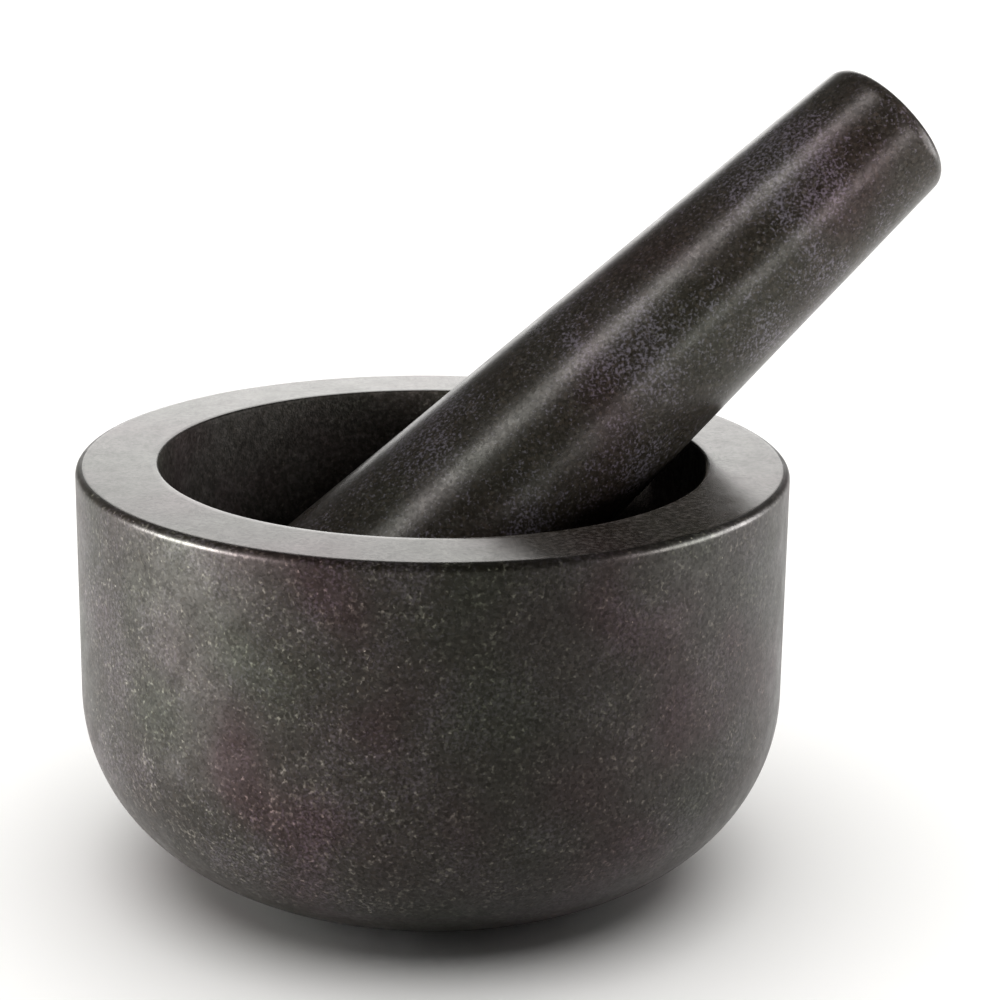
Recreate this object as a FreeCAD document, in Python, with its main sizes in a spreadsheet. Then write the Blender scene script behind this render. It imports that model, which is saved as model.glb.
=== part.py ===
"""A smooth turned granite mortar with its pestle, as separate pieces.

Frame: millimetres, +Z up. The origin is on the axis of the bowl, at the underside
of its pad, so the pair stands on z = 0. The pestle leans towards +X in the XZ plane:
its round foot lies in the bowl and its shaft rests on the inner edge of the rim.
"""
import FreeCAD, Part
import os
from math import cos, radians, sin, sqrt

import Sketcher

SIZES = [
    ("bowl_radius", 70.0, "outside of the upright wall"),
    ("bowl_height", 83.0, "underside of the stone to the rim"),
    ("wall_start", 37.5, "height at which the upright wall begins"),
    ("shoulder_radius", 36.0, "corner radius just under the wall"),
    ("heel_radius", 43.0, "corner radius next to the base"),
    ("base_radius", 36.0, "flat underside of the stone"),
    ("cavity_radius", 53.9, "mouth of the cavity and its round floor"),
    ("cavity_wall", 7.5, "straight part of the cavity under the rim"),
    ("rim_outer_round", 1.6, "rounding of the rim's outer edge"),
    ("rim_inner_round", 0.6, "rounding of the rim's inner edge"),
    ("pad_radius", 29.0, "foam disc under the bowl"),
    ("pad_thickness", 2.0, "foam disc"),
    ("pad_seat_depth", 1.2, "shallow seat in the stone that the disc is glued into"),
    ("pad_fit", 0.4, "gap round the disc in its seat"),
    ("pestle_length", 175.0, "bottom of the foot to the top of the grip"),
    ("pestle_foot_radius", 23.2, "round grinding foot"),
    ("pestle_taper", 3.0, "degrees that each side of the shaft closes in"),
    ("pestle_edge_round", 3.7, "rounding of the edge at the top of the grip"),
    ("pestle_crown_radius", 46.0, "low dome of the top end"),
    ("pestle_lean", 39.4, "degrees from the floor to the axis of the pestle"),
    ("rest_gap", 0.3, "gap left where the pestle rests on the bowl"),
]


def make_sizes(doc):
    """One row per driving dimension: name, value, meaning."""
    sheet = doc.addObject("Spreadsheet::Sheet", "Sizes")
    for row, (name, value, meaning) in enumerate(SIZES, start=1):
        sheet.set(f"A{row}", name)
        sheet.set(f"B{row}", str(value))
        sheet.set(f"C{row}", meaning)
        sheet.setAlias(f"B{row}", name)
    doc.recompute()
    return sheet


def new_body(doc, name):
    body = doc.addObject("PartDesign::Body", name)
    body.Label = name
    return body


def new_sketch(body, name, plane):
    """A sketch on one of the body's own origin planes."""
    sketch = body.newObject("Sketcher::SketchObject", name)
    support = next(f for f in body.Origin.OriginFeatures if f.Role == plane)
    sketch.AttachmentSupport = [(support, "")]
    sketch.MapMode = "FlatFace"
    return sketch


def add_line(sketch, start, end):
    segment = Part.LineSegment(FreeCAD.Vector(*start, 0), FreeCAD.Vector(*end, 0))
    return sketch.addGeometry(segment, False)


def add_arc(sketch, centre, radius, first, last):
    """A circular arc, counter-clockwise between two angles in degrees."""
    circle = Part.Circle(FreeCAD.Vector(*centre, 0), FreeCAD.Vector(0, 0, 1), radius)
    arc = Part.ArcOfCircle(circle, radians(first), radians(last))
    return sketch.addGeometry(arc, False)


def tie(sketch, kind, *where):
    sketch.addConstraint(Sketcher.Constraint(kind, *where))


def dimension(sketch, formula, kind, *where):
    """A driving constraint whose value comes from the sheet."""
    value = float(sketch.evalExpression(formula))
    if kind == "Angle":
        value = radians(value)
    index = sketch.addConstraint(Sketcher.Constraint(kind, *where, value))
    sketch.setExpression(f"Constraints[{index}]", formula)


# Ends of a sketch element, and the sketch's own origin point and upright axis.
START, END, CENTRE = 1, 2, 3
ORIGIN = (-1, 1)
AXIS = -2


def revolve(body, kind, name, sketch):
    """Turn a half profile once round the upright axis of its sketch."""
    feature = body.newObject(kind, name)
    feature.Profile = sketch
    feature.ReferenceAxis = (sketch, ["V_Axis"])
    feature.Angle = 360.0
    return feature


def round_edge(body, name, radius, height, formula):
    """Round the full circle of the given radius that lies at the given height."""
    base = body.Tip
    for number, edge in enumerate(base.Shape.Edges, start=1):
        circle = isinstance(edge.Curve, Part.Circle) and abs(edge.Curve.Radius - radius) < 1e-4
        if circle and abs(edge.Curve.Center.z - height) < 1e-4:
            fillet = body.newObject("PartDesign::Fillet", name)
            fillet.Base = (base, [f"Edge{number}"])
            fillet.setExpression("Radius", formula)
            return fillet
    raise RuntimeError(f"{name}: no edge of radius {radius} at height {height}")


def make_mortar(doc, sizes):
    """The bowl: one block, turned outside, hollowed to a hemisphere, rim ground flat."""
    body = new_body(doc, "mortar")

    outer = new_sketch(body, "outer_profile", "XZ_Plane")
    shoulder = (sizes.bowl_radius - sizes.shoulder_radius, sizes.wall_start)
    bend = (shoulder[0] + sizes.shoulder_radius * sqrt(0.5),
            shoulder[1] - sizes.shoulder_radius * sqrt(0.5))
    heel = (bend[0] - sizes.heel_radius * sqrt(0.5), bend[1] + sizes.heel_radius * sqrt(0.5))
    base = add_line(outer, (0, 0), (sizes.base_radius, 0))
    low = add_arc(outer, heel, sizes.heel_radius, -80, -45)
    high = add_arc(outer, shoulder, sizes.shoulder_radius, -45, 0)
    wall = add_line(outer, (sizes.bowl_radius, sizes.wall_start),
                    (sizes.bowl_radius, sizes.bowl_height))
    rim = add_line(outer, (sizes.bowl_radius, sizes.bowl_height), (0, sizes.bowl_height))
    middle = add_line(outer, (0, sizes.bowl_height), (0, 0))
    tie(outer, "Coincident", base, START, *ORIGIN)
    tie(outer, "Horizontal", base)
    tie(outer, "Coincident", base, END, low, START)
    tie(outer, "Tangent", low, END, high, START)
    tie(outer, "Tangent", high, END, wall, START)
    tie(outer, "Vertical", wall)
    tie(outer, "Coincident", wall, END, rim, START)
    tie(outer, "Horizontal", rim)
    tie(outer, "Coincident", rim, END, middle, START)
    tie(outer, "Coincident", middle, END, *ORIGIN)
    tie(outer, "Vertical", middle)
    dimension(outer, "Sizes.bowl_radius", "DistanceX", *ORIGIN, wall, END)
    dimension(outer, "Sizes.bowl_height", "DistanceY", *ORIGIN, wall, END)
    dimension(outer, "Sizes.wall_start", "DistanceY", *ORIGIN, wall, START)
    dimension(outer, "Sizes.shoulder_radius", "Radius", high)
    dimension(outer, "Sizes.heel_radius", "Radius", low)
    dimension(outer, "Sizes.base_radius", "DistanceX", *ORIGIN, base, END)
    revolve(body, "PartDesign::Revolution", "turned_block", outer)

    inner = new_sketch(body, "cavity_profile", "XZ_Plane")
    centre = (0, sizes.bowl_height - sizes.cavity_wall)
    floor = add_arc(inner, centre, sizes.cavity_radius, -90, 0)
    side = add_line(inner, (sizes.cavity_radius, centre[1]),
                    (sizes.cavity_radius, sizes.bowl_height))
    mouth = add_line(inner, (sizes.cavity_radius, sizes.bowl_height), (0, sizes.bowl_height))
    depth = add_line(inner, (0, sizes.bowl_height), (0, centre[1] - sizes.cavity_radius))
    tie(inner, "PointOnObject", floor, CENTRE, AXIS)
    tie(inner, "PointOnObject", floor, START, AXIS)
    tie(inner, "Tangent", floor, END, side, START)
    tie(inner, "Vertical", side)
    tie(inner, "Coincident", side, END, mouth, START)
    tie(inner, "Horizontal", mouth)
    tie(inner, "Coincident", mouth, END, depth, START)
    tie(inner, "Coincident", depth, END, floor, START)
    tie(inner, "PointOnObject", depth, START, AXIS)
    dimension(inner, "Sizes.cavity_radius", "Radius", floor)
    dimension(inner, "Sizes.cavity_wall", "DistanceY", side, START, side, END)
    dimension(inner, "Sizes.bowl_height", "DistanceY", *ORIGIN, side, END)
    revolve(body, "PartDesign::Groove", "cavity", inner)

    seat = new_sketch(body, "pad_seat_outline", "XY_Plane")
    circle = Part.Circle(FreeCAD.Vector(), FreeCAD.Vector(0, 0, 1), sizes.pad_radius)
    ring = seat.addGeometry(circle, False)
    tie(seat, "Coincident", ring, CENTRE, *ORIGIN)
    dimension(seat, "Sizes.pad_radius + Sizes.pad_fit", "Radius", ring)
    pocket = body.newObject("PartDesign::Pocket", "pad_seat")
    pocket.Profile = seat
    pocket.Reversed = True
    pocket.setExpression("Length", "Sizes.pad_seat_depth")
    doc.recompute()

    round_edge(body, "rim_outer_edge", sizes.bowl_radius, sizes.bowl_height,
               "Sizes.rim_outer_round")
    doc.recompute()
    round_edge(body, "rim_inner_edge", sizes.cavity_radius, sizes.bowl_height,
               "Sizes.rim_inner_round")
    body.setExpression("Placement.Base.z", "Sizes.pad_thickness - Sizes.pad_seat_depth")
    return body


def make_base_pad(doc, sizes):
    """The die-cut foam disc glued under the bowl, standing a little proud of the stone."""
    body = new_body(doc, "base_pad")
    outline = new_sketch(body, "pad_outline", "XY_Plane")
    circle = Part.Circle(FreeCAD.Vector(), FreeCAD.Vector(0, 0, 1), sizes.pad_radius)
    ring = outline.addGeometry(circle, False)
    tie(outline, "Coincident", ring, CENTRE, *ORIGIN)
    dimension(outline, "Sizes.pad_radius", "Radius", ring)
    disc = body.newObject("PartDesign::Pad", "pad_disc")
    disc.Profile = outline
    disc.setExpression("Length", "Sizes.pad_thickness")
    return body


def make_pestle(doc, sizes):
    """The pestle: one turned bar; its own origin is the centre of the round foot."""
    body = new_body(doc, "pestle")
    foot = sizes.pestle_foot_radius
    taper = sizes.pestle_taper
    top = sizes.pestle_length - foot
    slope = sin(radians(taper)) / cos(radians(taper))
    shaft_foot = (foot * cos(radians(taper)), foot * sin(radians(taper)))
    shaft_end_height = top - 1.5 * sizes.pestle_edge_round
    shaft_end = (shaft_foot[0] - slope * (shaft_end_height - shaft_foot[1]), shaft_end_height)
    edge_centre = (shaft_end[0] - sizes.pestle_edge_round, shaft_end[1])
    crown_centre = (0, top - sizes.pestle_crown_radius)

    profile = new_sketch(body, "pestle_profile", "XZ_Plane")
    ball = add_arc(profile, (0, 0), foot, -90, taper)
    shaft = add_line(profile, shaft_foot, shaft_end)
    edge = add_arc(profile, edge_centre, sizes.pestle_edge_round, taper, 75)
    crown = add_arc(profile, crown_centre, sizes.pestle_crown_radius, 75, 90)
    middle = add_line(profile, (0, top), (0, -foot))
    tie(profile, "Coincident", ball, CENTRE, *ORIGIN)
    tie(profile, "PointOnObject", ball, START, AXIS)
    tie(profile, "Tangent", ball, END, shaft, START)
    tie(profile, "Tangent", shaft, END, edge, START)
    tie(profile, "Tangent", edge, END, crown, START)
    tie(profile, "PointOnObject", crown, CENTRE, AXIS)
    tie(profile, "PointOnObject", crown, END, AXIS)
    tie(profile, "Coincident", crown, END, middle, START)
    tie(profile, "Coincident", middle, END, ball, START)
    dimension(profile, "Sizes.pestle_foot_radius", "Radius", ball)
    dimension(profile, "Sizes.pestle_edge_round", "Radius", edge)
    dimension(profile, "Sizes.pestle_crown_radius", "Radius", crown)
    dimension(profile, "Sizes.pestle_length", "DistanceY", ball, START, crown, END)
    dimension(profile, "90 + Sizes.pestle_taper", "Angle", shaft)
    revolve(body, "PartDesign::Revolution", "turned_bar", profile)
    lay_in_bowl(body)
    return body


def lay_in_bowl(body):
    """Lean the pestle on the rim's inner edge, with its foot against the cavity.

    The side of the shaft that rests on the rim climbs at lean + taper. The centre of
    the foot is off to one side of the parallel line through the rim's rounding, and
    on a sphere about the centre of the cavity's round floor.
    """
    side = "(Sizes.pestle_lean + Sizes.pestle_taper)"
    rounding_x = "(Sizes.cavity_radius + Sizes.rim_inner_round)"
    rounding_z = "(Sizes.cavity_wall - Sizes.rim_inner_round)"
    spacing = "(Sizes.pestle_foot_radius + Sizes.rest_gap + Sizes.rim_inner_round)"
    across = f"({rounding_x} * sin({side}) - {rounding_z} * cos({side}) - {spacing})"
    reach = "(Sizes.cavity_radius - Sizes.pestle_foot_radius - Sizes.rest_gap)"
    along = f"sqrt({reach}^2 - {across}^2)"
    cavity_centre = ("(Sizes.pad_thickness - Sizes.pad_seat_depth"
                     " + Sizes.bowl_height - Sizes.cavity_wall)")
    body.Placement.Rotation = FreeCAD.Rotation(FreeCAD.Vector(0, 1, 0), 45)
    body.setExpression("Placement.Rotation.Angle", "90 - Sizes.pestle_lean")
    body.setExpression("Placement.Base.x", f"{across} * sin({side}) - {along} * cos({side})")
    body.setExpression(
        "Placement.Base.z",
        f"{cavity_centre} - {across} * cos({side}) - {along} * sin({side})")


def check(doc, bodies):
    """Stop if any feature failed, or a piece is missing, broken or in several parts."""
    for item in doc.Objects:
        if "Invalid" in item.State or "Error" in item.State:
            raise RuntimeError(f"{item.Name} failed: {item.State}")
    for body in bodies:
        shape = body.Shape
        if shape.isNull() or not shape.isValid() or len(shape.Solids) != 1:
            raise RuntimeError(f"{body.Label} is not one valid solid")
    for sketch in doc.findObjects("Sketcher::SketchObject"):
        if sketch.solve() != 0 or not sketch.FullyConstrained:
            raise RuntimeError(f"{sketch.Name} is not fully constrained")


def check_cuts(doc):
    """Each cut and rounding must take stone away."""
    mortar = doc.getObject("mortar")
    steps = [f for f in mortar.Group if f.isDerivedFrom("PartDesign::Feature")]
    for before, after in zip(steps, steps[1:]):
        if after.Shape.Volume >= before.Shape.Volume:
            raise RuntimeError(f"{after.Name} removed nothing")


def main():
    doc = FreeCAD.newDocument("mortar_and_pestle")
    sizes = make_sizes(doc)
    bodies = [make_mortar(doc, sizes), make_base_pad(doc, sizes), make_pestle(doc, sizes)]
    doc.recompute()
    check(doc, bodies)
    check_cuts(doc)
    os.makedirs("parts", exist_ok=True)
    for body in bodies:
        body.Shape.exportStep(f"parts/{body.Label}.step")
        box = body.Shape.BoundBox
        print(f"{body.Label}: {body.Shape.Volume / 1000:.1f} cm3, "
              f"x {box.XMin:.2f} to {box.XMax:.2f}, y {box.YMin:.2f} to {box.YMax:.2f}, "
              f"z {box.ZMin:.2f} to {box.ZMax:.2f}")


main()
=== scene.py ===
from math import asin, atan2, cos, pi, radians, sin, sqrt

import bpy
import numpy as np
from mathutils import Matrix, Vector, noise


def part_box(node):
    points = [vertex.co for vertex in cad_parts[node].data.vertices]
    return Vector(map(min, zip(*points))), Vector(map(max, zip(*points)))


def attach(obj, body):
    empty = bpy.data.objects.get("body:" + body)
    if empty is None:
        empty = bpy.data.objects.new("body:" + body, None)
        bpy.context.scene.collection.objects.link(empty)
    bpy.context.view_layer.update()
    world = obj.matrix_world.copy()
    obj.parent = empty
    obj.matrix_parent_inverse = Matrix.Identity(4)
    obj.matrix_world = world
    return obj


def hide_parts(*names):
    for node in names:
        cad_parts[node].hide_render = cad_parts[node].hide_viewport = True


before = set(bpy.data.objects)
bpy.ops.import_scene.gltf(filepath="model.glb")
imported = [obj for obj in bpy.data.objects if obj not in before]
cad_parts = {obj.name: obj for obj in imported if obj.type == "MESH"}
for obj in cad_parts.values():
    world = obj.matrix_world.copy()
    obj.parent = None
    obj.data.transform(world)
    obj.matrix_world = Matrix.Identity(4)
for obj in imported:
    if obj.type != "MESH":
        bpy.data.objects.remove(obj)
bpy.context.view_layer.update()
scene = bpy.context.scene

# ---------------------------------------------------------------------------------
# Camera. It stands half a metre from the middle of the rim and looks down a little
# more than 15 degrees, with the pestle leaning away from it to the right.
# ---------------------------------------------------------------------------------
MM = 0.001
bowl_low, bowl_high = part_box("mortar")
RIM_HEIGHT = bowl_high.z
BOWL_RADIUS = bowl_high.x
VIEW_TURN = radians(-19.8)
VIEW_DOWN = radians(15.35)
VIEW_ROLL = radians(0.4)
VIEW_DISTANCE = 7 * BOWL_RADIUS

away = Vector((-sin(VIEW_TURN), cos(VIEW_TURN), 0))
right = Vector((cos(VIEW_TURN), sin(VIEW_TURN), 0))
up = Vector((0, 0, 1))
look = away * cos(VIEW_DOWN) - up * sin(VIEW_DOWN)
rim_centre = Vector((0, 0, RIM_HEIGHT))
camera_data = bpy.data.cameras.new("camera")
camera_data.sensor_width = 36
camera_data.lens = 89.3
camera_data.shift_x = 0.0673
camera_data.shift_y = -0.0436
camera = bpy.data.objects.new("camera", camera_data)
turn = look.to_track_quat("-Z", "Y").to_matrix().to_4x4()
turn = turn @ Matrix.Rotation(VIEW_ROLL, 4, "Z")
camera.matrix_world = Matrix.Translation(rim_centre - look * VIEW_DISTANCE) @ turn
scene.collection.objects.link(camera)
scene.camera = camera

# ---------------------------------------------------------------------------------
# Mortar. One block of fine black granite, turned outside and honed, hollowed by a
# ball-shaped cutter and left rough inside, its rim ground flat and polished.
# ---------------------------------------------------------------------------------
STONE_FOOT = bowl_low.z
WALL_START = STONE_FOOT + 37.5 * MM
SHOULDER_RADIUS = 36 * MM
HEEL_RADIUS = 43 * MM
RIM_OUTER_ROUND = 1.6 * MM
RIM_INNER_ROUND = 0.6 * MM
CAVITY_RADIUS = 53.9 * MM
CAVITY_WALL = 7.5 * MM
SEAT_RADIUS = 29.4 * MM
SEAT_DEPTH = 1.2 * MM
HEEL_TURN = radians(45)
EDGE_BAND = 1.6 * MM
RIM_BAND = 2 * MM
MORTAR_SIDES = 720

# Spacing of the outline's points: wide where the stone is flat or hidden, close on edges.
HIDDEN_STEP = 4 * MM
BASE_STEP = 1 * MM
CURVE_STEP = 1.2 * MM
WALL_STEP = 1.4 * MM
CAVITY_WALL_STEP = 0.9 * MM
CAVITY_FLOOR_STEP = 1.1 * MM
EDGE_STEP = 0.4 * MM
OUTER_ROUND_STEP = 0.25 * MM
INNER_ROUND_STEP = 0.2 * MM


def straight(start, end, step):
    """Points along a line, without its last one."""
    across, along = end[0] - start[0], end[1] - start[1]
    count = max(1, round(sqrt(across ** 2 + along ** 2) / step))
    return [(start[0] + across * t, start[1] + along * t) for t in np.arange(count) / count]


def bend(centre, radius, first, last, step):
    """Points along an arc between two angles in radians, without its last one."""
    count = max(3, round(abs(last - first) * radius / step))
    angles = first + (last - first) * np.arange(count) / count
    return [(centre[0] + radius * cos(a), centre[1] + radius * sin(a)) for a in angles]


def turned(name, outline, sides):
    """A closed mesh: an outline that starts and ends on the axis, turned once round it."""
    outline = np.array(outline)
    angles = np.arange(sides) * 2 * pi / sides
    rings = outline[1:-1]
    verts = np.empty((len(rings), sides, 3))
    verts[:, :, 0] = rings[:, :1] * np.cos(angles)
    verts[:, :, 1] = rings[:, :1] * np.sin(angles)
    verts[:, :, 2] = rings[:, 1:]
    verts = verts.reshape(-1, 3).tolist()
    first, last = len(verts), len(verts) + 1
    verts += [[0, 0, outline[0][1]], [0, 0, outline[-1][1]]]
    faces = []
    for ring in range(len(rings) - 1):
        a, b = ring * sides, (ring + 1) * sides
        faces += [(a + i, a + (i + 1) % sides, b + (i + 1) % sides, b + i)
                  for i in range(sides)]
    top = (len(rings) - 1) * sides
    faces += [(first, (i + 1) % sides, i) for i in range(sides)]
    faces += [(last, top + i, top + (i + 1) % sides) for i in range(sides)]
    mesh = bpy.data.meshes.new(name)
    mesh.from_pydata(verts, [], faces)
    mesh.polygons.foreach_set("use_smooth", [True] * len(mesh.polygons))
    piece = bpy.data.objects.new(name, mesh)
    scene.collection.objects.link(piece)
    return piece


shoulder = (BOWL_RADIUS - SHOULDER_RADIUS, WALL_START)
heel_gap = HEEL_RADIUS - SHOULDER_RADIUS
heel = (shoulder[0] - heel_gap * cos(HEEL_TURN), shoulder[1] + heel_gap * sin(HEEL_TURN))
heel_end = -asin((heel[1] - STONE_FOOT) / HEEL_RADIUS)
base_radius = heel[0] + HEEL_RADIUS * cos(heel_end)
rim_outer = (BOWL_RADIUS - RIM_OUTER_ROUND, RIM_HEIGHT - RIM_OUTER_ROUND)
rim_inner = (CAVITY_RADIUS + RIM_INNER_ROUND, RIM_HEIGHT - RIM_INNER_ROUND)
floor_centre = (0, RIM_HEIGHT - CAVITY_WALL)
seat_top = STONE_FOOT + SEAT_DEPTH
band_low = rim_outer[1] - EDGE_BAND
band_in = rim_outer[0] - RIM_BAND
mortar_outline = (
    straight((0, seat_top), (SEAT_RADIUS, seat_top), HIDDEN_STEP)
    + straight((SEAT_RADIUS, seat_top), (SEAT_RADIUS, STONE_FOOT), EDGE_STEP)
    + straight((SEAT_RADIUS, STONE_FOOT), (base_radius, STONE_FOOT), BASE_STEP)
    + bend(heel, HEEL_RADIUS, heel_end, -HEEL_TURN, CURVE_STEP)
    + bend(shoulder, SHOULDER_RADIUS, -HEEL_TURN, 0, CURVE_STEP)
    + straight((BOWL_RADIUS, WALL_START), (BOWL_RADIUS, band_low), WALL_STEP)
    + straight((BOWL_RADIUS, band_low), (BOWL_RADIUS, rim_outer[1]), EDGE_STEP)
    + bend(rim_outer, RIM_OUTER_ROUND, 0, pi / 2, OUTER_ROUND_STEP)
    + straight((rim_outer[0], RIM_HEIGHT), (band_in, RIM_HEIGHT), EDGE_STEP)
    + straight((band_in, RIM_HEIGHT), (rim_inner[0], RIM_HEIGHT), CURVE_STEP)
    + bend(rim_inner, RIM_INNER_ROUND, pi / 2, pi, INNER_ROUND_STEP)
    + straight((CAVITY_RADIUS, rim_inner[1]), (CAVITY_RADIUS, floor_centre[1]),
               CAVITY_WALL_STEP)
    + bend(floor_centre, CAVITY_RADIUS, 0, -pi / 2, CAVITY_FLOOR_STEP)
    + [(0, floor_centre[1] - CAVITY_RADIUS)]
)
mortar = turned("mortar_stone", mortar_outline, MORTAR_SIDES)


def shift_along_normals(piece, amount):
    """Moves each vertex along its normal by amount(position), in metres."""
    mesh = piece.data
    count = len(mesh.vertices)
    places = np.empty(count * 3)
    normals = np.empty(count * 3)
    mesh.vertices.foreach_get("co", places)
    mesh.vertex_normals.foreach_get("vector", normals)
    places = places.reshape(-1, 3)
    shift = np.array([amount(Vector(p)) for p in places])
    places += normals.reshape(-1, 3) * shift[:, None]
    mesh.vertices.foreach_set("co", places.ravel())
    mesh.update()


def ripple(p, height, length):
    """A smooth random wave of that height and length, at a position."""
    return height * noise.noise(p / length)


def in_cavity(p):
    """0 on the outside and the rim, 1 on the ground surface of the cavity."""
    radial = sqrt(p.x * p.x + p.y * p.y)
    if radial > CAVITY_RADIUS + 0.1 * MM or p.z < STONE_FOOT + 15 * MM:
        return 0
    return min(1, max(0, (RIM_HEIGHT - 0.4 * MM - p.z) / (3 * MM)))


def mortar_wear(p):
    """A wall honed by hand is never quite round; the cavity keeps its cutter's ripple."""
    on_rim = p.z > RIM_HEIGHT - 0.05 * MM
    wall = 0 if on_rim else (ripple(p, 0.05 * MM, 30 * MM) + ripple(p, 0.02 * MM, 9 * MM))
    cavity = ripple(p, 0.16 * MM, 2.6 * MM) + ripple(p, 0.10 * MM, 1.3 * MM)
    inside = in_cavity(p)
    return wall * (1 - inside) - abs(cavity) * inside


shift_along_normals(mortar, mortar_wear)


def linear(hex_colour):
    """An sRGB hex value as linear RGBA."""
    parts = [int(hex_colour[i:i + 2], 16) / 255 for i in (1, 3, 5)]
    return [c / 12.92 if c <= 0.04045 else ((c + 0.055) / 1.055) ** 2.4
            for c in parts] + [1]


def add(tree, kind, settings=None, stops=(), **inputs):
    """Adds a node. Settings are its properties, stops the places and colours of a ramp,
    inputs the values or links of its sockets, by name or, as _0, by number."""
    node = tree.nodes.new(kind)
    for key, value in (settings or {}).items():
        setattr(node, key, value)
    for number, (position, colour) in enumerate(stops):
        elements = node.color_ramp.elements
        element = elements[number] if number < 2 else elements.new(position)
        element.position, element.color = position, linear(colour)
    for key, value in inputs.items():
        by_number = key[0] == "_"
        socket = node.inputs[int(key[1:]) if by_number else key.replace("_", " ")]
        if isinstance(value, bpy.types.NodeSocket):
            tree.links.new(value, socket)
        else:
            socket.default_value = value
    return node


def granite(name, roughness, sheen, pit_depth, powder,
            lightness=1.0, clouding=1.0, frost=0.0):
    """Fine black granite: near-black grains, faint green and brown clouds, pale flecks.

    The eye reads it as a dark, even stone with a fine salt of feldspar. roughness,
    sheen and pit_depth are the finish of the surface, powder the pale dust left in it.
    lightness scales the dark grains between the flecks: below 1 it paints shade, as on the
    bowl's wall, and above 1 it paints light, as on the pestle. clouding is the depth of the
    faint colour clouds, and frost how far bruised crystals whiten the surface.
    """
    material = bpy.data.materials.new(name)
    material.use_nodes = True
    tree = material.node_tree
    shader = tree.nodes["Principled BSDF"]
    place = add(tree, "ShaderNodeTexCoord").outputs["Object"]

    def per(size):
        """Texture scale for a feature of that many millimetres."""
        return 1 / (size * MM)

    # Crystals have ragged outlines, so the pattern is bent by under half a millimetre.
    wander = add(tree, "ShaderNodeTexNoise", Vector=place, Scale=per(0.8), Detail=2.0)
    offset = add(tree, "ShaderNodeVectorMath", {"operation": "MULTIPLY_ADD"},
                 _0=wander.outputs["Color"], _1=(0.45 * MM,) * 3, _2=place)
    ragged = offset.outputs[0]

    grain = add(tree, "ShaderNodeTexVoronoi", Vector=ragged, Scale=per(0.6))
    grain_tone = add(tree, "ShaderNodeSeparateColor", Color=grain.outputs["Color"])
    matrix = add(tree, "ShaderNodeValToRGB", Fac=grain_tone.outputs["Red"],
                 stops=[(0.0, "#16140f"), (1.0, "#2c2823"),
                        (0.55, "#1c1a16"), (0.88, "#23201b")])
    mass = add(tree, "ShaderNodeMix", {"data_type": "RGBA", "blend_type": "MULTIPLY"},
               _0=1.0, _6=matrix.outputs["Color"], _7=(lightness, lightness, lightness, 1))

    # Feldspar flecks of 0.2 to 0.6 mm: most are faint, and they gather in loose swarms.
    swarm = add(tree, "ShaderNodeTexNoise", Vector=place, Scale=per(6), Detail=3.0)
    crowd = add(tree, "ShaderNodeMapRange", Value=swarm.outputs["Fac"],
                From_Min=0.35, From_Max=0.68, To_Min=0.62, To_Max=0.52)
    speck = add(tree, "ShaderNodeTexNoise", Vector=ragged, Scale=per(0.85), Detail=1.5)
    above = add(tree, "ShaderNodeMath", {"operation": "SUBTRACT"},
                _0=speck.outputs["Fac"], _1=crowd.outputs[0])
    fleck = add(tree, "ShaderNodeMapRange", {"interpolation_type": "SMOOTHSTEP"},
                Value=above.outputs[0], From_Min=-0.03, From_Max=0.19, To_Max=0.34)
    pale = add(tree, "ShaderNodeValToRGB", Fac=grain_tone.outputs["Blue"],
               stops=[(0.0, "#3c3d39"), (1.0, "#868680"), (0.7, "#5c5d57")])
    flecked = add(tree, "ShaderNodeMix", {"data_type": "RGBA"},
                  _0=fleck.outputs[0], _6=mass.outputs[2], _7=pale.outputs["Color"])

    # Small bright crystals, a few in each square centimetre.
    crystal = add(tree, "ShaderNodeTexVoronoi", Vector=ragged, Scale=per(2.6))
    crystal_pick = add(tree, "ShaderNodeSeparateColor", Color=crystal.outputs["Color"])
    radius = add(tree, "ShaderNodeMapRange", Value=crystal_pick.outputs["Red"],
                 From_Min=0.55, To_Min=-0.02, To_Max=0.10)
    inside = add(tree, "ShaderNodeMath", {"operation": "SUBTRACT"},
                 _0=radius.outputs[0], _1=crystal.outputs["Distance"])
    bright_grain = add(tree, "ShaderNodeMapRange", {"interpolation_type": "SMOOTHSTEP"},
                       Value=inside.outputs[0], From_Min=-0.01, From_Max=0.07, To_Max=0.6)
    spotted = add(tree, "ShaderNodeMix", {"data_type": "RGBA"}, _0=bright_grain.outputs[0],
                  _6=flecked.outputs[2], _7=linear("#8b8a84"))

    # Frost: lavender-grey crystals bruised by grinding, crowded where the stone is rubbed.
    rubbed_patch = add(tree, "ShaderNodeTexNoise", Vector=place, Scale=per(16), Detail=4.0)
    patch = add(tree, "ShaderNodeMapRange", Value=rubbed_patch.outputs["Fac"],
                From_Min=0.42, From_Max=0.62, To_Min=0.60, To_Max=0.46)
    bruise = add(tree, "ShaderNodeTexNoise", Vector=ragged, Scale=per(0.6), Detail=3.0)
    over = add(tree, "ShaderNodeMath", {"operation": "SUBTRACT"},
               _0=bruise.outputs["Fac"], _1=patch.outputs[0])
    frosting = add(tree, "ShaderNodeMapRange", {"interpolation_type": "SMOOTHSTEP"},
                   Value=over.outputs[0], From_Min=-0.04, From_Max=0.22, To_Max=frost)
    frosted = add(tree, "ShaderNodeMix", {"data_type": "RGBA"}, _0=frosting.outputs[0],
                  _6=spotted.outputs[2], _7=linear("#7f7c8a"))

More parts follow.
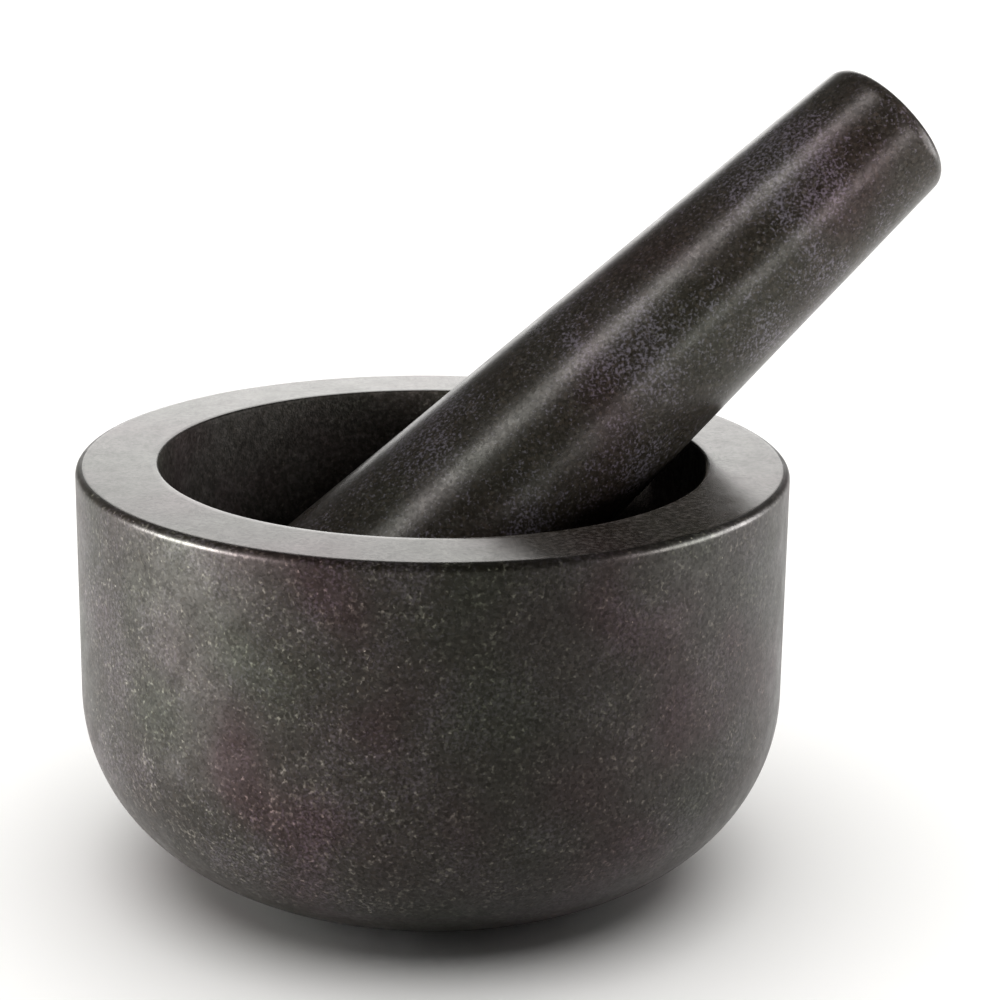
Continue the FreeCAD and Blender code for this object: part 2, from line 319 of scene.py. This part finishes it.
    # Clouds of 10 to 25 mm in which the stone turns faintly green or purple-brown.
    cloud = add(tree, "ShaderNodeTexNoise", Vector=place, Scale=per(26), Detail=1.0)
    tint = add(tree, "ShaderNodeValToRGB", Fac=cloud.outputs["Fac"],
               stops=[(0.30, "#dfe0d0"), (0.68, "#eed0d3"),
                      (0.46, "#e9e1da"), (0.54, "#ebdfda")])
    clouded = add(tree, "ShaderNodeMix", {"data_type": "RGBA", "blend_type": "MULTIPLY"},
                  _0=clouding, _6=frosted.outputs[2], _7=tint.outputs["Color"])
    sheen_tint = add(tree, "ShaderNodeMix", {"data_type": "RGBA"},
                     _0=clouding, _6=(1, 1, 1, 1), _7=tint.outputs["Color"])
    tree.links.new(sheen_tint.outputs[2], shader.inputs["Specular Tint"])

    # Each grain is cut through its own crystal, so some shine more than others.
    glint = add(tree, "ShaderNodeMapRange", Value=grain_tone.outputs["Green"],
                To_Min=sheen * 0.7, To_Max=sheen * 1.35)
    tree.links.new(glint.outputs[0], shader.inputs["Specular IOR Level"])

    # Pale dust from grinding, caught in the pores.
    dust = add(tree, "ShaderNodeTexNoise", Vector=place, Scale=per(1.1), Detail=4.0)
    dust_share = add(tree, "ShaderNodeMapRange",
                     Value=dust.outputs["Fac"], From_Min=0.45, From_Max=0.75, To_Max=powder)
    dusted = add(tree, "ShaderNodeMix", {"data_type": "RGBA"}, _0=dust_share.outputs[0],
                 _6=clouded.outputs[2], _7=linear("#7b7470"))
    tree.links.new(dusted.outputs[2], shader.inputs["Base Color"])

    # The finish: smears of 5 mm in the gloss, and fine pits between the crystals.
    smear = add(tree, "ShaderNodeTexNoise", Vector=place, Scale=per(5), Detail=6.0)
    gloss = add(tree, "ShaderNodeMapRange", Value=smear.outputs["Fac"],
                From_Min=0.25, From_Max=0.75,
                To_Min=roughness * 0.8, To_Max=roughness * 1.2)
    tree.links.new(gloss.outputs[0], shader.inputs["Roughness"])
    pits = add(tree, "ShaderNodeTexNoise", Vector=place, Scale=per(0.45), Detail=3.0)
    relief = add(tree, "ShaderNodeMath", {"operation": "MULTIPLY_ADD"},
                 _0=fleck.outputs[0], _1=-0.5, _2=pits.outputs["Fac"])
    bump = add(tree, "ShaderNodeBump", Height=relief.outputs[0],
               Distance=pit_depth, Strength=1.0)
    tree.links.new(bump.outputs[0], shader.inputs["Normal"])
    shader.inputs["IOR"].default_value = 1.55
    return material


# Honed with a fine stone: a dark wall with a soft, broad sheen. Its grains are set darker
# than the rim's and the cavity's, which is painted shade on the whole wall.
honed = granite("honed_black_granite", roughness=0.37, sheen=0.23, pit_depth=0.012 * MM,
                powder=0.02, lightness=0.42, frost=0.10)
# Ground flat and polished: the rim mirrors bright things softly and hides its flecks.
polished = granite("polished_rim_granite", roughness=0.19, sheen=0.5,
                   pit_depth=0.004 * MM, powder=0.3)
# Left as the cutter left it: dull, pitted, and dusty from use.
ground = granite("ground_cavity_granite", roughness=0.75, sheen=0.3,
                 pit_depth=0.15 * MM, powder=0.2)
ON_RIM, IN_CAVITY = 1, 2
for finish in (honed, polished, ground):
    mortar.data.materials.append(finish)
for face in mortar.data.polygons:
    centre = face.center
    radial = sqrt(centre.x ** 2 + centre.y ** 2)
    if centre.z > RIM_HEIGHT - 0.03 * MM:
        face.material_index = ON_RIM
    elif radial < CAVITY_RADIUS + 0.3 * MM and centre.z > STONE_FOOT + 10 * MM:
        face.material_index = IN_CAVITY
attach(mortar, "mortar")
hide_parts("mortar")

# ---------------------------------------------------------------------------------
# Base pad. A disc die-cut from black closed-cell foam, glued into a shallow seat
# under the bowl so that the stone doesn't scratch the table.
# ---------------------------------------------------------------------------------
pad_low, pad_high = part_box("base_pad")
PAD_RADIUS = pad_high.x
PAD_EDGE = 0.3 * MM
PAD_STEP = 1.5 * MM
PAD_EDGE_STEP = 0.15 * MM
PAD_SIDES = 180
CELL_SIZE = 0.6 * MM
CELL_DEPTH = 0.08 * MM
pad_outline = (
    straight((0, pad_low.z), (PAD_RADIUS - PAD_EDGE, pad_low.z), PAD_STEP)
    + bend((PAD_RADIUS - PAD_EDGE, pad_low.z + PAD_EDGE), PAD_EDGE, -pi / 2, 0,
           PAD_EDGE_STEP)
    + straight((PAD_RADIUS, pad_low.z + PAD_EDGE), (PAD_RADIUS, pad_high.z), EDGE_STEP)
    + straight((PAD_RADIUS, pad_high.z), (0, pad_high.z), HIDDEN_STEP)
    + [(0, pad_high.z)]
)
pad = turned("base_pad_foam", pad_outline, PAD_SIDES)

# Closed-cell foam: matt black, with cells drawn twice as large as real ones so they show.
foam = bpy.data.materials.new("closed_cell_foam")
foam.use_nodes = True
foam_tree = foam.node_tree
foam_shader = foam_tree.nodes["Principled BSDF"]
foam_place = add(foam_tree, "ShaderNodeTexCoord").outputs["Object"]
cells = add(foam_tree, "ShaderNodeTexVoronoi", Vector=foam_place, Scale=1 / CELL_SIZE)
foam_colour = add(foam_tree, "ShaderNodeValToRGB", Fac=cells.outputs["Distance"],
                  stops=[(0.0, "#1a1a1b"), (0.8, "#29292a")])
foam_tree.links.new(foam_colour.outputs["Color"], foam_shader.inputs["Base Color"])
foam_bump = add(foam_tree, "ShaderNodeBump", Height=cells.outputs["Distance"],
                Distance=CELL_DEPTH, Strength=1.0)
foam_tree.links.new(foam_bump.outputs[0], foam_shader.inputs["Normal"])
foam_shader.inputs["Roughness"].default_value = 0.85
pad.data.materials.append(foam)
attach(pad, "mortar")
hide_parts("base_pad")

# ---------------------------------------------------------------------------------
# Pestle. One bar of the same granite, turned to a slight taper and rubbed smooth
# where the hand holds it, with a domed top, a rounded edge and a rough round foot.
# ---------------------------------------------------------------------------------
PESTLE_LENGTH = 175 * MM
FOOT_RADIUS = 23.2 * MM
TAPER = radians(3)
LEAN = radians(39.4)
EDGE_ROUND = 3.7 * MM
CROWN_RADIUS = 46 * MM
SHAFT_STEP = 1.2 * MM
FOOT_STEP = 0.9 * MM
CROWN_STEP = 0.8 * MM
GRIT_START = 2 * MM
PESTLE_SIDES = 360
pestle_low, pestle_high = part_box("pestle")
foot_centre = Vector((pestle_low.x + FOOT_RADIUS, 0, pestle_low.z + FOOT_RADIUS))
top = PESTLE_LENGTH - FOOT_RADIUS
crown_centre = top - CROWN_RADIUS


def side_radius(height):
    """Radius of the shaft's straight side at a height above the foot's centre."""
    return FOOT_RADIUS / cos(TAPER) - height * sin(TAPER) / cos(TAPER)


# The edge's rounding touches the side and the crown: its centre is found by halving.
low, high = top - 3 * EDGE_ROUND, top
for _ in range(40):
    edge_height = (low + high) / 2
    edge_radius = side_radius(edge_height) - EDGE_ROUND / cos(TAPER)
    reach = sqrt(edge_radius ** 2 + (edge_height - crown_centre) ** 2)
    if reach < CROWN_RADIUS - EDGE_ROUND:
        low = edge_height
    else:
        high = edge_height
crown_turn = atan2(edge_height - crown_centre, edge_radius)
side_low = (FOOT_RADIUS * cos(TAPER), FOOT_RADIUS * sin(TAPER))
side_high = (edge_radius + EDGE_ROUND * cos(TAPER), edge_height + EDGE_ROUND * sin(TAPER))
pestle_outline = (
    bend((0, 0), FOOT_RADIUS, -pi / 2, TAPER, FOOT_STEP)
    + straight(side_low, side_high, SHAFT_STEP)
    + bend((edge_radius, edge_height), EDGE_ROUND, TAPER, crown_turn, EDGE_STEP)
    + bend((0, crown_centre), CROWN_RADIUS, crown_turn, pi / 2, CROWN_STEP)
    + [(0, top)]
)
pestle = turned("pestle_stone", pestle_outline, PESTLE_SIDES)


def pestle_wear(p):
    """Rubbed by hand, the shaft has soft flats; the foot keeps the grit of its grinding."""
    soft = ripple(p, 0.06 * MM, 26 * MM) + ripple(p, 0.02 * MM, 8 * MM)
    grit = abs(ripple(p, 0.12 * MM, 1.8 * MM))
    worn = min(1, max(0, (4 * MM - p.z) / (10 * MM)))
    return soft * (1 - worn) - grit * worn


shift_along_normals(pestle, pestle_wear)
# Rubbed smooth by hands: glossier than the bowl, with frost where crystals are bruised.
# Its grains are set lighter than the bowl's, which is painted light on the pestle.
rubbed = granite("rubbed_black_granite", roughness=0.30, sheen=0.3, pit_depth=0.012 * MM,
                 powder=0.06, lightness=2.0, clouding=0.7, frost=0.65)
# Ground by use: the same stone, dull and slightly dusty. Its grains are as light as the
# shaft's, which is painted light.
foot_grit = granite("ground_foot_granite", roughness=0.6, sheen=0.3, pit_depth=0.06 * MM,
                    powder=0.15, lightness=2.0, clouding=0.7, frost=0.8)
ON_SHAFT, ON_FOOT = 0, 1
pestle.data.materials.append(rubbed)
pestle.data.materials.append(foot_grit)
for face in pestle.data.polygons:
    face.material_index = ON_FOOT if face.center.z < -GRIT_START else ON_SHAFT

# Turned upright, the bar is then tipped and set with its foot in the bowl.
pestle.data.transform(Matrix.Rotation(pi / 2 - LEAN, 4, "Y"))
pestle.matrix_world = Matrix.Translation(foot_centre)
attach(pestle, "pestle")
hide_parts("pestle")

# ---------------------------------------------------------------------------------
# Table and light. A pale, plain table and a bright wall of soft light behind. A soft box
# on the left and a card on the right light the bowl; a long strip above and two cards
# light the pestle along its whole shaft.
# ---------------------------------------------------------------------------------
table_mesh = bpy.data.meshes.new("table")
TABLE_HALF = 30.0
table_mesh.from_pydata(
    [(-TABLE_HALF, -TABLE_HALF, 0), (TABLE_HALF, -TABLE_HALF, 0),
     (TABLE_HALF, TABLE_HALF, 0), (-TABLE_HALF, TABLE_HALF, 0)],
    [], [(0, 1, 2, 3)])
table = bpy.data.objects.new("table", table_mesh)
scene.collection.objects.link(table)
table_paint = bpy.data.materials.new("table_paint")
table_paint.use_nodes = True
table_shader = table_paint.node_tree.nodes["Principled BSDF"]
table_shader.inputs["Base Color"].default_value = linear("#f4f3f1")
table_shader.inputs["Roughness"].default_value = 0.8
table_shader.inputs["Specular IOR Level"].default_value = 0.2
table.data.materials.append(table_paint)


# An overhead light shines on the table alone and the soft boxes on the stone alone, so
# that no box burns out the white round it.
def lit_by(lamp, name, pieces):
    """Lets a lamp shine on these pieces only."""
    group = bpy.data.collections.new(name)
    for piece in pieces:
        group.objects.link(piece)
    lamp.light_linking.receiver_collection = group


def soft_box(name, pieces, side, back, height, width, tall, power):
    """An area light aimed at the bowl, placed by metres to the right, away and up."""
    data = bpy.data.lights.new(name, "AREA")
    data.shape = "RECTANGLE"
    data.size = width
    data.size_y = tall
    data.energy = power
    lamp = bpy.data.objects.new(name, data)
    spot = right * side + away * back + up * height
    aim = (rim_centre - spot).to_track_quat("-Z", "Y").to_matrix().to_4x4()
    lamp.matrix_world = Matrix.Translation(spot) @ aim
    lamp.visible_camera = False
    scene.collection.objects.link(lamp)
    lit_by(lamp, name + "_pieces", pieces)


soft_box("left_window", [mortar, pad], side=-1.07, back=-0.24, height=0.16,
         width=0.52, tall=0.30, power=66)
soft_box("right_card", [mortar, pad], side=1.45, back=0.05, height=0.30,
         width=1.3, tall=0.60, power=57)
soft_box("key_strip", [pestle], side=-0.22, back=-0.41, height=0.98,
         width=0.20, tall=0.75, power=5)
soft_box("pestle_card", [pestle], side=1.45, back=0.16, height=0.30,
         width=1.3, tall=0.60, power=14)
soft_box("front_card", [pestle], side=0.85, back=-0.86, height=0.36,
         width=0.50, tall=0.25, power=3.3)

overhead_data = bpy.data.lights.new("overhead", "SUN")
overhead_data.energy = 3.8
overhead_data.angle = radians(85)
overhead = bpy.data.objects.new("overhead", overhead_data)
scene.collection.objects.link(overhead)
lit_by(overhead, "overhead_table", [table])

# The studio round the table: dim, with a bright wall far behind.
world = bpy.data.worlds.new("studio")
world.use_nodes = True
scene.world = world
sky = world.node_tree
background = sky.nodes["Background"]
direction = add(sky, "ShaderNodeTexCoord").outputs["Generated"]
height = add(sky, "ShaderNodeSeparateXYZ", Vector=direction).outputs["Z"]
facing = add(sky, "ShaderNodeVectorMath", {"operation": "DOT_PRODUCT"},
             _0=direction, _1=tuple(away)).outputs["Value"]
wall_low = add(sky, "ShaderNodeMapRange", {"interpolation_type": "SMOOTHSTEP"},
               Value=height, From_Min=0.50, From_Max=0.32, To_Min=0.0, To_Max=1.0)
wall_back = add(sky, "ShaderNodeMapRange", {"interpolation_type": "SMOOTHSTEP"},
                Value=facing, From_Min=0.90, From_Max=0.97, To_Min=0.0, To_Max=2.5)
wall = add(sky, "ShaderNodeMath", {"operation": "MULTIPLY"},
           _0=wall_low.outputs[0], _1=wall_back.outputs[0])
room = add(sky, "ShaderNodeMapRange", {"interpolation_type": "SMOOTHSTEP"},
           Value=facing, From_Min=-0.7, From_Max=0.3, To_Min=0.05, To_Max=0.15)
total = add(sky, "ShaderNodeMath", {"operation": "ADD"},
            _0=wall.outputs[0], _1=room.outputs[0])

# The camera sees plain white round the table, whichever side it looks from.
seen = add(sky, "ShaderNodeLightPath").outputs["Is Camera Ray"]
PLAIN_WHITE = 1.2
shown = add(sky, "ShaderNodeMath", {"operation": "MULTIPLY"}, _0=seen, _1=PLAIN_WHITE)
strength = add(sky, "ShaderNodeMath", {"operation": "MAXIMUM"},
               _0=total.outputs[0], _1=shown.outputs[0])
sky.links.new(strength.outputs[0], background.inputs["Strength"])
background.inputs["Color"].default_value = linear("#fdfcfa")
scene.view_settings.view_transform = "Standard"
